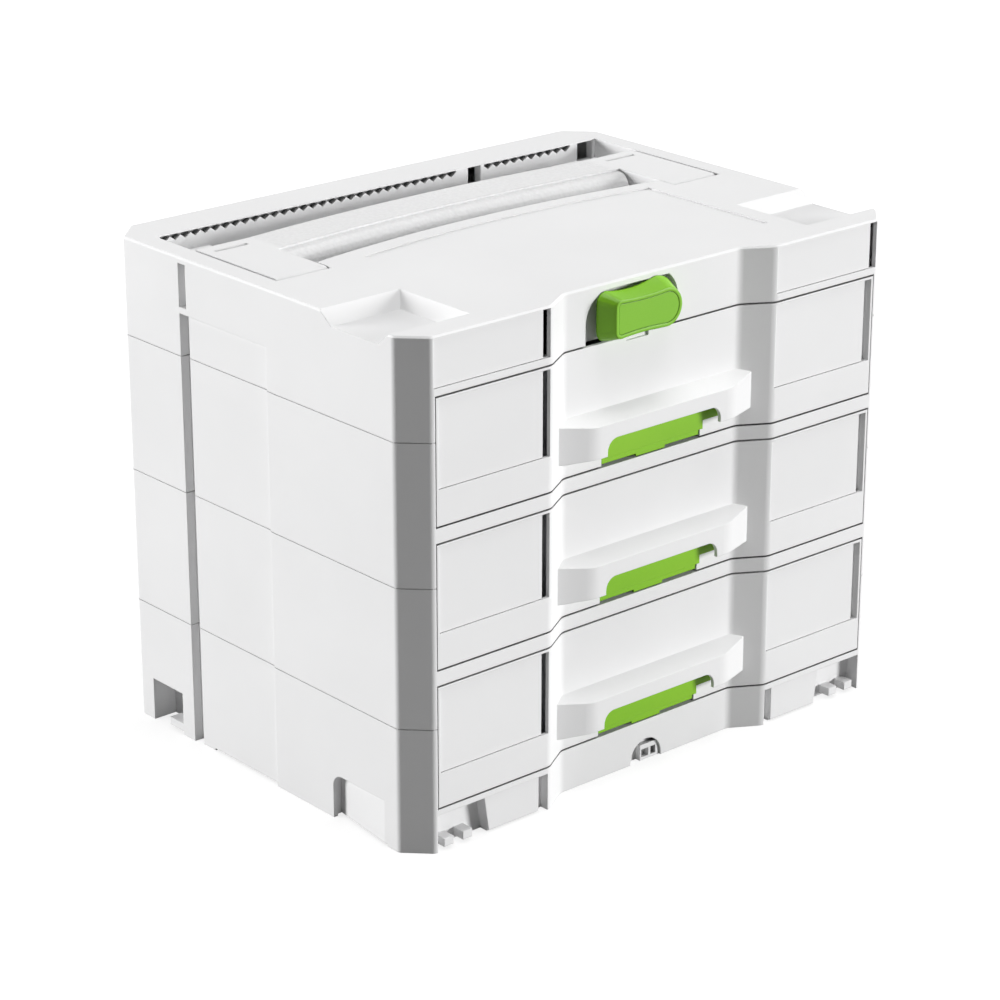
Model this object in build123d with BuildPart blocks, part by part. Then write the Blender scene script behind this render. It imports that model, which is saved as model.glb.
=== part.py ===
"""Stackable organizer case with three drawers, a turning latch and a folding carry handle.

Millimetres. X runs to the right, Y to the back and Z up. The origin is the middle of the footprint
on the ground, and the drawers open towards -Y.
"""
import os
from math import atan2, cos, pi, sin, sqrt, tan

from build123d import *

os.makedirs("parts", exist_ok=True)

# Case footprint and walls
case_width = 396.0
case_depth = 296.0
wall = 3.0
front_corner_cut = 15.5
rear_corner_cut = 17.5
corner_round = 4.5
overrun = 2.0  # how far a cut runs past the face that it opens

# Heights of the stack
base_seam = 80.2
drawer_pitch = 89.1
first_drawer_bottom = 29.2
drawer_front_height = 77.6
floor_gap = 1.2  # dark gap under each drawer front
lintel_gap = 1.2  # gap above each drawer front
floor_thickness = 2.5
lid_height = 35.8

# Bay in the middle of the front, where the bow handles and the latch sit
bay_shoulder_half = 92.0
bay_floor_half = 72.0
bay_depth = 12.0
bay_round = 9.0

# Relief of the side walls
panel_recess = 1.6
panel_front_y = -14.0
groove_front_y = 65.4
groove_rear_y = 72.6
groove_depth = 6.0

# Seams between the case mouldings, open as a fine groove round the front posts
tongue_height = 3.0
tongue_fit = 0.15
seam_groove_height = 0.5
seam_groove_depth = 0.5

# Drawer openings and guides
post_strip = 2.2
drawer_side_gap = 0.6
tray_step = 5.7  # how far the tray's side stands behind the drawer front's edge
tray_height = 72.0
tray_wall = 2.0
tray_front_depth = 19.0
tray_rear_y = 128.0
runner_inset = 9.0
runner_width = 8.0
runner_clearance = 0.3
guide_clearance = 0.4
guide_width = 2.0
guide_height = 8.0
rail_overlap = 5.0
rail_clearance = 0.6
rail_thickness = 2.5
rail_rear_gap = 20.0

# Long screws that hold the mouldings together
tie_screw_radius = 2.5
tie_screw_fit = 0.05
tie_head_radius = 4.4
tie_head_height = 3.5
tie_head_sides = 6
tie_sides = 12
tie_boss_radius = 5.2
tie_front_inset_x = 12.0
tie_front_inset_y = 14.0
tie_rear_inset_x = 14.0
tie_rear_inset_y = 15.0
tie_boss_height = 10.0
tie_cover_reach = 30.0

# Places that follow from the sizes above
side_x = case_width / 2
front_y = -case_depth / 2
rear_y = case_depth / 2
bay_y = front_y + bay_depth
bay_turn = atan2(bay_depth, bay_shoulder_half - bay_floor_half)
level_count = 3
lid_bottom = first_drawer_bottom + (level_count - 1) * drawer_pitch + drawer_front_height + lintel_gap
case_height = lid_bottom + lid_height
opening_half = side_x - front_corner_cut - post_strip
drawer_half = opening_half - drawer_side_gap
tray_half = drawer_half - tray_step
tray_front_y = front_y + tray_front_depth
crossbar_height = drawer_pitch - drawer_front_height - floor_gap - lintel_gap
tie_places = [
    (side * (side_x - inset_x), y)
    for inset_x, y in (
        (tie_front_inset_x, front_y + tie_front_inset_y),
        (tie_rear_inset_x, rear_y - tie_rear_inset_y),
    )
    for side in (-1, 1)
]


def drawer_bottom(level):
    """Underside of the drawer front on a level, counted from the ground up."""
    return first_drawer_bottom + level * drawer_pitch


def floor_top(level):
    return drawer_bottom(level) - floor_gap


def seam(level):
    """Top edge of the case moulding of a level."""
    return base_seam + level * drawer_pitch


def mirrored(points):
    return [(-x, y) for x, y in reversed(points)]


def outline(right_side, inset):
    """Plan of the case from the points of its right side, set in from the outside by an inset."""
    with BuildSketch() as plan:
        with BuildLine():
            Polyline(*right_side, *mirrored(right_side), close=True)
        make_face()
        if inset > 0:
            offset(amount=-inset, kind=Kind.INTERSECTION)
        else:
            front_limit = front_y + front_corner_cut + corner_round
            rear_limit = rear_y - rear_corner_cut - corner_round
            corners = [v for v in plan.vertices() if v.Y < front_limit or v.Y > rear_limit]
            fillet(corners, radius=corner_round)
    return plan.sketch


def case_outline(inset=0.0):
    """Plan of the case below the lid, with the recessed side panels and the side grooves."""
    panel_x = side_x - panel_recess
    groove_x = side_x - groove_depth
    return outline(
        [
            (side_x - front_corner_cut, front_y),
            (side_x, front_y + front_corner_cut),
            (side_x, panel_front_y),
            (panel_x, panel_front_y + panel_recess),
            (panel_x, groove_front_y),
            (groove_x, groove_front_y),
            (groove_x, groove_rear_y),
            (side_x, groove_rear_y),
            (side_x, rear_y - rear_corner_cut),
            (side_x - rear_corner_cut, rear_y),
        ],
        inset,
    )


def lid_outline(inset=0.0):
    """Plan of the lid, whose sides stand flush."""
    return outline(
        [
            (side_x - front_corner_cut, front_y),
            (side_x, front_y + front_corner_cut),
            (side_x, rear_y - rear_corner_cut),
            (side_x - rear_corner_cut, rear_y),
        ],
        inset,
    )


def ahead_of_front(inset=0.0):
    """Everything ahead of the front contour with its bay, set back by an inset."""
    shift = inset * tan(bay_turn / 2)
    end_x = side_x + overrun
    ahead_y = front_y - overrun
    with BuildSketch() as ahead:
        with BuildLine():
            contour = FilletPolyline(
                (-end_x, front_y + inset),
                (-bay_shoulder_half - shift, front_y + inset),
                (-bay_floor_half - shift, bay_y + inset),
                (bay_floor_half + shift, bay_y + inset),
                (bay_shoulder_half + shift, front_y + inset),
                (end_x, front_y + inset),
                radius=bay_round,
            )
            Polyline(contour @ 1, (end_x, ahead_y), (-end_x, ahead_y), contour @ 0)
        make_face()
    return ahead.sketch


def block(x_range, y_range, z_range, mode=Mode.ADD):
    """A plain block between three pairs of limits, in the part that is being made."""
    middle = [(low + high) / 2 for low, high in (x_range, y_range, z_range)]
    size = [high - low for low, high in (x_range, y_range, z_range)]
    with Locations(tuple(middle)):
        Box(*size, mode=mode)


def both_sides(x_range):
    """The range of a piece on the right side of the case, and its mirror image on the left."""
    return [x_range, (-x_range[1], -x_range[0])]


def case_ring(bottom, top, tongue, rebate):
    """Walls of one case moulding, open at the front between the corner posts."""
    with BuildSketch(Plane.XY.offset(bottom)) as walls:
        add(case_outline())
        add(case_outline(wall), mode=Mode.SUBTRACT)
    extrude(walls.sketch, amount=top - bottom)
    if tongue:
        with BuildSketch(Plane.XY.offset(top)) as rim:
            add(case_outline(wall / 2 + tongue_fit))
            add(case_outline(wall), mode=Mode.SUBTRACT)
        extrude(rim.sketch, amount=tongue_height)
    if rebate:
        with BuildSketch(Plane.XY.offset(bottom)) as socket:
            add(case_outline(wall / 2))
        extrude(socket.sketch, amount=tongue_height + tongue_fit, mode=Mode.SUBTRACT)
        with BuildSketch(Plane.XY.offset(bottom)) as seam_line:
            add(case_outline())
            add(case_outline(seam_groove_depth), mode=Mode.SUBTRACT)
        extrude(seam_line.sketch, amount=seam_groove_height, mode=Mode.SUBTRACT)
    block(
        (-opening_half, opening_half),
        (front_y - overrun, front_y + front_corner_cut),
        (bottom - overrun, top + (tongue_height + overrun if tongue else 0)),
        mode=Mode.SUBTRACT,
    )


def drawer_deck(level, skirt_bottom):
    """Floor under a drawer with its crossbar, runners and side guides."""
    top = floor_top(level)
    with BuildSketch(Plane.XY.offset(top - floor_thickness)) as floor:
        add(case_outline(wall / 2))
        add(ahead_of_front(wall / 2), mode=Mode.SUBTRACT)
    extrude(floor.sketch, amount=floor_thickness)
    with BuildSketch(Plane.XY.offset(skirt_bottom)) as skirt:
        add(ahead_of_front(wall))
        add(ahead_of_front(), mode=Mode.SUBTRACT)
        add(case_outline(), mode=Mode.INTERSECT)
    extrude(skirt.sketch, amount=top - skirt_bottom)
    track = (tray_front_y + guide_clearance, tray_rear_y)
    runner_x = tray_half - runner_inset
    for x_range in both_sides((runner_x - runner_width / 2, runner_x + runner_width / 2)):
        block(x_range, track, (top, top + floor_gap - runner_clearance))
    guide_x = tray_half + guide_clearance
    for x_range in both_sides((guide_x, guide_x + guide_width)):
        block(x_range, track, (top, top + guide_height))


def tilt_rails(level):
    """Ledges over the rims of a tray, which keep the open drawer from tipping."""
    bottom = drawer_bottom(level) + tray_height + rail_clearance
    inner_x = tray_half - rail_overlap
    rail_rear_y = rear_y - wall - rail_rear_gap
    with BuildSketch(Plane.XY.offset(bottom)) as rails:
        for side in (-1, 1):
            with Locations((side * (inner_x + side_x) / 2, (tray_front_y + rail_rear_y) / 2)):
                Rectangle(side_x - inner_x, rail_rear_y - tray_front_y - 2 * guide_clearance)
        add(case_outline(wall / 2), mode=Mode.INTERSECT)
    extrude(rails.sketch, amount=rail_thickness)


def tie_holes(bottom, top):
    """Holes for the long screws between two heights."""
    with BuildSketch(Plane.XY.offset(bottom)) as holes:
        with Locations(*tie_places):
            RegularPolygon(tie_screw_radius + tie_screw_fit, tie_sides)
    extrude(holes.sketch, amount=top - bottom, mode=Mode.SUBTRACT)


def finish_piece(builder, name):
    """Label a finished piece and write it out under its own name."""
    builder.part.label = name
    export_step(builder.part, f"parts/{name}.step")


# Base moulding
foot_cut_outer = 180.5
foot_cut_inner_top = 143.7
foot_cut_inner_bottom = 139.9
foot_cut_height = 24.3
foot_cut_depth = 9.0
foot_wall = 2.5
tab_outer_x = 175.7
tab_pitch = 14.6
tab_width = 7.2
tab_bottom = 2.3
tab_height = 5.3
skirt_slot_x = 93.6
skirt_slot_width = 6.7
skirt_slot_depth = 6.0
skirt_plate_rise = 1.3
skirt_plate_recess = 0.8
rear_foot_front_y = 85.0
rear_foot_rear_y = 117.0
rear_foot_height = 28.8
rear_foot_depth = 16.5
rear_tab_front_y = 84.0
rear_tab_rear_y = 100.0
rear_tab_length = 9.0
side_step_front_y = -119.5
side_step_rear_y = -70.5
side_step_height = 29.5
side_step_depth = 6.0  # at its rear end, running out to nothing at its front end
side_step_round = 8.0
side_rise = 1.4  # how far the lower edge of the sides stands off the ground between the feet
side_rise_panel = (-14.0, 53.0)
side_rise_step = (-122.0, -70.5)
catch_radius = 13.0
catch_rise = 2.0
catch_depth = 5.0
catch_wall = 3.0
catch_pad_left = 3.8
catch_pad_height = 10.5
catch_pad_depth = 3.6
catch_notch_lefts = (-2.6, 5.4)
catch_notch_widths = (6.1, 4.2)
catch_notch_bottom = 1.8
catch_notch_height = 5.4
underside_rib = 2.0
underside_rib_rise = 2.0
underside_rib_places_share = (-0.5, 0.0, 0.5)
foot_pad = 26.0
foot_pad_x = 138.0
foot_pad_y = 98.0

with BuildPart() as side_step_form:
    with BuildSketch(Plane.YZ.offset(side_x - side_step_depth)) as side_step:
        with Locations(((side_step_front_y + side_step_rear_y) / 2, (side_step_height - overrun) / 2)):
            Rectangle(side_step_rear_y - side_step_front_y, side_step_height + overrun)
        fillet(side_step.vertices().group_by(Axis.Y)[-1].sort_by(Axis.X)[-1], radius=side_step_round)
    extrude(amount=side_step_depth + overrun)
    with BuildSketch(Plane.XY.offset(-overrun)):
        Polygon(
            (side_x - side_step_depth, side_step_rear_y),
            (side_x, side_step_front_y),
            (side_x + overrun, side_step_front_y),
            (side_x + overrun, side_step_rear_y),
            align=None,
        )
    extrude(amount=side_step_height + 2 * overrun, mode=Mode.INTERSECT)

with BuildPart() as base_module:
    case_ring(0, base_seam, tongue=True, rebate=False)
    drawer_deck(0, skirt_bottom=0)
    deck_underside = floor_top(0) - floor_thickness
    for place in underside_rib_places_share:
        x = place * side_x
        block(
            (x - underside_rib / 2, x + underside_rib / 2),
            (bay_y + wall / 2, rear_y - wall / 2),
            (underside_rib_rise, deck_underside),
        )
        y = place * rear_y
        block(
            (-side_x + groove_depth, side_x - groove_depth),
            (y - underside_rib / 2, y + underside_rib / 2),
            (underside_rib_rise, deck_underside),
        )
    for side_range in both_sides((foot_pad_x - foot_pad / 2, foot_pad_x + foot_pad / 2)):
        for pad_y in (-foot_pad_y, foot_pad_y):
            block(side_range, (pad_y - foot_pad / 2, pad_y + foot_pad / 2), (0, deck_underside))

    # Foot cut-outs beside the front posts, each with two stacking tabs
    cut_back_y = front_y + foot_cut_depth
    for side_range in both_sides((foot_cut_inner_bottom - foot_wall, foot_cut_outer + foot_wall / 2)):
        block(side_range, (front_y + wall / 2, cut_back_y + foot_wall), (0, deck_underside))
    for side in (-1, 1):
        with BuildSketch(Plane.XZ.offset(-front_y + overrun)):
            Polygon(
                (side * foot_cut_outer, 0),
                (side * foot_cut_outer, foot_cut_height),
                (side * foot_cut_inner_top, foot_cut_height),
                (side * foot_cut_inner_bottom, 0),
                align=None,
            )
        extrude(amount=-(foot_cut_depth + overrun), mode=Mode.SUBTRACT)
    for step in range(2):
        outer_x = tab_outer_x - step * tab_pitch
        for side_range in both_sides((outer_x - tab_width, outer_x)):
            block(side_range, (front_y, cut_back_y + foot_wall / 2), (tab_bottom, tab_bottom + tab_height))

    # Finger slots and raised lower edges of the skirt plates
    slot_back_y = front_y + skirt_slot_depth
    slot_outer_x = skirt_slot_x + skirt_slot_width
    for side_range in both_sides((skirt_slot_x - foot_wall, slot_outer_x + foot_wall)):
        block(side_range, (front_y + wall / 2, slot_back_y + foot_wall), (0, deck_underside))
    for side_range in both_sides((skirt_slot_x, slot_outer_x)):
        block(side_range, (front_y - overrun, slot_back_y), (-overrun, foot_cut_height), mode=Mode.SUBTRACT)
    for side_range in both_sides((slot_outer_x - overrun, foot_cut_inner_bottom + overrun)):
        block(side_range, (front_y - overrun, front_y + wall), (-overrun, skirt_plate_rise), mode=Mode.SUBTRACT)
    plate_back_y = front_y + skirt_plate_recess
    for side_range in both_sides((slot_outer_x - overrun, foot_cut_inner_top + overrun)):
        block(side_range, (front_y - overrun, plate_back_y), (-overrun, foot_cut_height), mode=Mode.SUBTRACT)

    # Stacking catch in the middle of the bay
    catch_back_y = bay_y + catch_depth
    block(
        (-catch_radius - catch_wall, catch_radius + catch_wall),
        (bay_y + wall / 2, catch_back_y + catch_wall),
        (0, deck_underside),
    )
    with BuildSketch(Plane.XZ.offset(-bay_y + overrun)):
        with Locations((0, catch_rise)):
            Circle(catch_radius)
        with Locations((0, catch_rise / 2 - overrun / 2)):
            Rectangle(2 * catch_radius, catch_rise + overrun)
    extrude(amount=-(catch_depth + overrun), mode=Mode.SUBTRACT)
    pad_front_y = catch_back_y - catch_pad_depth
    block((-catch_pad_left, catch_radius), (pad_front_y, catch_back_y + catch_wall / 2), (0, catch_pad_height))
    for left, width in zip(catch_notch_lefts, catch_notch_widths):
        block(
            (left, left + width),
            (pad_front_y - overrun, catch_back_y),
            (catch_notch_bottom, catch_notch_bottom + catch_notch_height),
            mode=Mode.SUBTRACT,
        )

    # Rear foot cut-outs, front steps in the sides and the lower edge between them
    foot_inner_x = side_x - rear_foot_depth
    for side_range in both_sides((foot_inner_x - foot_wall, side_x - wall / 2)):
        block(
            side_range,
            (rear_foot_front_y - foot_wall, rear_foot_rear_y + foot_wall),
            (0, rear_foot_height + foot_wall),
        )
    for side_range in both_sides((foot_inner_x, side_x + overrun)):
        block(side_range, (rear_foot_front_y, rear_foot_rear_y), (-overrun, rear_foot_height), mode=Mode.SUBTRACT)
    for side_range in both_sides((side_x - rear_tab_length, side_x)):
        block(
            side_range,
            (rear_tab_front_y, rear_tab_rear_y),
            (tab_bottom, tab_bottom + tab_height),
        )
    for side_range in both_sides((side_x - side_step_depth - foot_wall, side_x - wall / 2)):
        block(
            side_range,
            (side_step_front_y, side_step_rear_y + foot_wall),
            (side_rise, side_step_height + foot_wall),
        )
    add(side_step_form.part, mode=Mode.SUBTRACT)
    mirror(side_step_form.part, about=Plane.YZ, mode=Mode.SUBTRACT)
    for side_range in both_sides((side_x - wall - overrun, side_x + overrun)):
        for rise_range in (side_rise_panel, side_rise_step):
            block(side_range, rise_range, (-overrun, side_rise), mode=Mode.SUBTRACT)

    # Bosses for the heads of the long screws
    with BuildSketch(Plane.XY.offset(deck_underside - tie_boss_height)):
        with Locations(*tie_places):
            RegularPolygon(tie_boss_radius, tie_sides)
    extrude(amount=tie_boss_height)
    tie_holes(deck_underside - tie_boss_height - overrun, floor_top(0) + overrun)
finish_piece(base_module, "base_module")

# Middle and upper case mouldings
for level, module_name in ((1, "middle_module"), (2, "upper_module")):
    with BuildPart() as module:
        case_ring(seam(level - 1), seam(level), tongue=True, rebate=True)
        drawer_deck(level, skirt_bottom=floor_top(level) - crossbar_height)
        tilt_rails(level - 1)
        tie_holes(floor_top(level) - floor_thickness - overrun, floor_top(level) + overrun)
    finish_piece(module, module_name)

# Carry handle and its recess in the lid
handle_rear_y = 77.0  # at the ends of the grip bar, like the other places below
handle_crease_y = 47.0
handle_bow = 8.0  # how far the grip bar bows to the rear in its middle
handle_band = 14.0
handle_roll_radius = 10.5
handle_roll_y = 45.0
handle_roll_sides = 20
handle_roll_drop = 1.4  # top of the roll below the flat band
handle_roll_end_gap = 1.4
handle_pivot_y = 0.0
handle_arm_radius = 6.0
handle_arm_rear_rise = 1.0
handle_arm_inner_x = 142.3
handle_arm_outer_x = 181.2
handle_gap = 0.8
handle_side_gap = 2.0
handle_slot_length = 25.0
handle_slot_width = 3.0
handle_slot_depth = 2.0
handle_slot_y = 67.0
hinge_pin_radius = 2.5
hinge_pin_fit = 0.06
hinge_pin_reach = 9.0  # into the arm
hinge_pin_seat = 3.8  # into the lid
recess_rear_y = 116.0
recess_rear_wall = 6.0
recess_side_wall = 4.0
recess_depth = 26.0
well_front_y = 8.0
well_bow = 12.0
teeth_pitch = 7.7
tooth_height = 2.8
tooth_depth = 4.5
tooth_lip = 0.8
tooth_strip = 1.2  # open strip above the teeth
teeth_margin = 3.0
rear_slots = ((69.0, 80.0), (167.0, 181.0))
rear_slot_depth = 14.0

handle_pivot_z = case_height - handle_arm_radius
recess_half = handle_arm_outer_x + handle_side_gap
well_half = handle_arm_inner_x + handle_gap
arm_recess_front_y = handle_pivot_y - handle_arm_radius - handle_gap
arm_recess_floor = handle_pivot_z - handle_arm_radius - handle_gap

# Corner pockets, latch pocket, label fields and engraved line of the lid
lid_edge_bevel = 1.2
pocket_depth = 8.0
pocket_inner_x = 138.0
pocket_floor_inner_x = 147.0
pocket_rear_y = -66.0
pocket_floor_rear_y = -77.0
pocket_front_y = -129.0
pocket_floor_front_y = -120.0
latch_z_drop = 20.3  # below the top of the lid
latch_pocket_left = 55.0
latch_pocket_left_round = 19.0
latch_pocket_right_round = 20.0  # about the turning axis
latch_pocket_top = 4.5  # below the top of the lid
latch_pocket_depth = 6.0
latch_pocket_wall = 6.0
spindle_radius = 6.0
spindle_fit = 0.08
label_pocket_depth = 4.5
label_field_margin = 1.3
label_slot = 5.0
label_set_back = 0.9
label_clearance = 0.3
cover_slot_depth = 10.0
cover_label_bottom = 4.4
cover_label_top = 1.6
line_width = 4.5
line_depth = 1.0
line_left_x = -112.0
line_right_x = 122.0
line_y = -2.5  # at both ends of the bowed run
line_bow = 9.0
line_front_y = -109.0
side_groove_end = 4.0

latch_z = case_height - latch_z_drop
latch_pocket_floor_y = bay_y + latch_pocket_depth
label_inner_x = bay_shoulder_half + label_field_margin
cover_label_outer_x = side_x - front_corner_cut - label_field_margin



def well_plan(margin, rear):
    """Plan of the well under the grip bar, widened by a margin; its front edge bows to the rear."""
    half = well_half + margin
    front = well_front_y - margin
    with BuildSketch() as plan:
        with BuildLine():
            ThreePointArc((-half, front), (0, front + well_bow), (half, front))
            Polyline((half, front), (half, rear), (-half, rear), (-half, front))
        make_face()
    return plan.sketch


with BuildPart() as top_cover:
    with BuildSketch(Plane.XY.offset(lid_bottom)):
        add(lid_outline())
        add(ahead_of_front(), mode=Mode.SUBTRACT)
    extrude(amount=lid_height)
    chamfer(top_cover.edges().group_by(Axis.Z)[-1], length=lid_edge_bevel)
    with BuildSketch(Plane.XY.offset(lid_bottom)):
        add(lid_outline(wall))
        add(ahead_of_front(wall), mode=Mode.SUBTRACT)
    extrude(amount=lid_height - wall, mode=Mode.SUBTRACT)

    # Skirt below the lid
    case_ring(seam(2), lid_bottom, tongue=False, rebate=True)
    tilt_rails(2)

    # Recess for the carry handle, shallow under the arms and deep under the bar
    under_deck = case_height - wall / 2
    recess_back = recess_rear_y + recess_rear_wall
    block(
        (-recess_half - recess_side_wall, recess_half + recess_side_wall),
        (arm_recess_front_y - wall, recess_back),
        (arm_recess_floor - wall, under_deck),
    )
    with BuildSketch(Plane.XY.offset(case_height - recess_depth - wall)):
        add(well_plan(wall, recess_back))
    extrude(amount=under_deck - case_height + recess_depth + wall)
    for side_range in both_sides((handle_arm_inner_x - handle_gap, recess_half)):
        block(
            side_range,
            (arm_recess_front_y, recess_rear_y),
            (arm_recess_floor, case_height + overrun),
            mode=Mode.SUBTRACT,
        )
    with BuildSketch(Plane.XY.offset(case_height - recess_depth)):
        add(well_plan(0, recess_rear_y))
    extrude(amount=recess_depth + overrun, mode=Mode.SUBTRACT)
    for side in (-1, 1):
        pin_start = side * (recess_half - overrun)
        with BuildSketch(Plane.YZ.offset(pin_start)):
            with Locations((handle_pivot_y, handle_pivot_z)):
                Circle(hinge_pin_radius + hinge_pin_fit)
        extrude(amount=side * (hinge_pin_seat + overrun), mode=Mode.SUBTRACT)

    # Row of teeth under the edge of the rear bar, with two open slots
    first_slot, last_slot = rear_slots
    teeth_runs = (
        (-recess_half + teeth_margin, first_slot[0] - teeth_margin),
        (first_slot[1] + teeth_margin, last_slot[0] - teeth_margin),
    )
    for run_start, run_end in teeth_runs:
        tooth_count = int((run_end - run_start) // teeth_pitch)
        strip_top = case_height - tooth_lip
        strip_bottom = strip_top - tooth_strip
        saw = [(run_start, strip_top), (run_start, strip_bottom)]
        for index in range(tooth_count):
            saw.append((run_start + teeth_pitch * (index + 0.5), strip_bottom - tooth_height))
            saw.append((run_start + teeth_pitch * (index + 1), strip_bottom))
        saw.append((run_start + teeth_pitch * tooth_count, strip_top))
        with BuildSketch(Plane.XZ.offset(-recess_rear_y)):
            Polygon(*saw, align=None)
        extrude(amount=-tooth_depth, mode=Mode.SUBTRACT)
    for slot_range in rear_slots:
        block(
            slot_range,
            (recess_rear_y - overrun, recess_back + overrun),
            (case_height - rear_slot_depth, case_height - tooth_lip),
            mode=Mode.SUBTRACT,
        )

    # Corner pockets for the feet of a case stacked above
    for side_range in both_sides((pocket_inner_x - wall, side_x - wall)):
        block(
            side_range,
            (pocket_front_y - wall, pocket_rear_y + wall),
            (case_height - pocket_depth - wall, under_deck),
        )
    for side in (-1, 1):
        outside = side * (side_x + overrun)
        for inner, front, rear, depth in (
            (pocket_floor_inner_x, pocket_floor_front_y, pocket_floor_rear_y, pocket_depth),
            (pocket_inner_x, pocket_front_y, pocket_rear_y, 0),
        ):
            with BuildSketch(Plane.XY.offset(case_height - depth)):
                Polygon(
                    (side * inner, front),
                    (outside, front),
                    (outside, rear),
                    (side * inner, rear),
                    align=None,
                )
        loft(ruled=True, mode=Mode.SUBTRACT)

    # Latch pocket, open at the lower edge of the lid
    block(
        (-latch_pocket_left - wall, latch_pocket_right_round + wall),
        (bay_y + wall / 2, latch_pocket_floor_y + latch_pocket_wall),
        (lid_bottom, under_deck),
    )
    latch_pocket_ceiling = case_height - latch_pocket_top
    with BuildSketch(Plane.XZ.offset(-front_y + overrun)) as latch_pocket:
        pocket_low = lid_bottom - overrun
        low_x = sqrt(latch_pocket_right_round**2 - (latch_z - pocket_low) ** 2)
        high_x = sqrt(latch_pocket_right_round**2 - (latch_pocket_ceiling - latch_z) ** 2)
        with BuildLine():
            ThreePointArc(
                (low_x, pocket_low),
                (latch_pocket_right_round, latch_z),
                (high_x, latch_pocket_ceiling),
            )
            Polyline(
                (high_x, latch_pocket_ceiling),
                (-latch_pocket_left, latch_pocket_ceiling),
                (-latch_pocket_left, pocket_low),
                (low_x, pocket_low),
            )
        make_face()
        top_left = latch_pocket.vertices().group_by(Axis.Y)[-1].sort_by(Axis.X)[0]
        fillet(top_left, radius=latch_pocket_left_round)
    extrude(amount=-(latch_pocket_floor_y - front_y + overrun), mode=Mode.SUBTRACT)
    with BuildSketch(Plane.XZ.offset(-latch_pocket_floor_y + overrun)):
        with Locations((0, latch_z)):
            Circle(spindle_radius + spindle_fit)
    extrude(amount=-(latch_pocket_wall + 2 * overrun), mode=Mode.SUBTRACT)

    # Label fields and the engraved line
    for x_range in both_sides((label_inner_x, cover_label_outer_x)):
        block(
            x_range,
            (front_y - overrun, front_y + label_pocket_depth),
            (lid_bottom + cover_label_bottom, case_height - cover_label_top),
            mode=Mode.SUBTRACT,
        )
    for slot_right_x in (-label_inner_x, cover_label_outer_x):
        block(
            (slot_right_x - label_slot, slot_right_x),
            (front_y - overrun, front_y + cover_slot_depth),
            (lid_bottom + cover_label_bottom, case_height - cover_label_top),
            mode=Mode.SUBTRACT,
        )
    with BuildSketch(Plane.XY.offset(case_height - line_depth)):
        half_line = line_width / 2
        line_middle_x = (line_left_x + line_right_x) / 2
        with BuildLine():
            rear_edge = ThreePointArc(
                (line_left_x, line_y + half_line),
                (line_middle_x, line_y + line_bow + half_line),
                (line_right_x + half_line, line_y + half_line),
            )
            front_edge = ThreePointArc(
                (line_right_x - half_line, line_y - half_line),
                (line_middle_x, line_y + line_bow - half_line),
                (line_left_x, line_y - half_line),
            )
            Polyline(
                rear_edge @ 1,
                (line_right_x + half_line, line_front_y),
                (line_right_x - half_line, line_front_y),
                front_edge @ 0,
            )
            Line(front_edge @ 1, rear_edge @ 0)
        make_face()
    extrude(amount=line_depth + overrun, mode=Mode.SUBTRACT)

    # Ends of the side grooves
    groove_x = side_x - groove_depth
    for side_range in both_sides((groove_x - wall, side_x - wall / 2)):
        block(side_range, (groove_front_y - wall, groove_rear_y + wall), (lid_bottom, under_deck))
    for side_range in both_sides((groove_x, side_x + overrun)):
        block(
            side_range,
            (groove_front_y, groove_rear_y),
            (lid_bottom + side_groove_end, case_height - side_groove_end),
            mode=Mode.SUBTRACT,
        )

    # Bosses for the ends of the long screws
    boss_bottom = seam(2) + tongue_height + tongue_fit
    with BuildSketch(Plane.XY.offset(boss_bottom)):
        with Locations(*tie_places):
            RegularPolygon(tie_boss_radius, tie_sides)
    extrude(amount=tie_cover_reach)
    tie_holes(boss_bottom - overrun, boss_bottom + tie_cover_reach - wall)
finish_piece(top_cover, "top_cover")

# Long screws
with BuildPart() as tie_screws:
    head_top = floor_top(0) - floor_thickness - tie_boss_height
    with BuildSketch(Plane.XY.offset(head_top - tie_head_height)):
        with Locations(*tie_places):
            RegularPolygon(tie_head_radius, tie_head_sides)
    extrude(amount=tie_head_height)
    with BuildSketch(Plane.XY.offset(head_top)):
        with Locations(*tie_places):
            RegularPolygon(tie_screw_radius, tie_sides)
    extrude(amount=seam(2) + tongue_height + tie_cover_reach - 2 * wall - head_top)
finish_piece(tie_screws, "tie_screws")

# Label plates of the cover; each leaves a finger slot at the right end of its field
for side, label_name in ((-1, "cover_label_left"), (1, "cover_label_right")):
    field = (label_inner_x, cover_label_outer_x) if side > 0 else (-cover_label_outer_x, -label_inner_x)
    with BuildPart() as cover_label:
        block(
            (field[0] + label_clearance, field[1] - label_slot),
            (front_y + label_set_back, front_y + label_pocket_depth),
            (lid_bottom + cover_label_bottom + label_clearance, case_height - cover_label_top - label_clearance),
        )
    finish_piece(cover_label, label_name)

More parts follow.
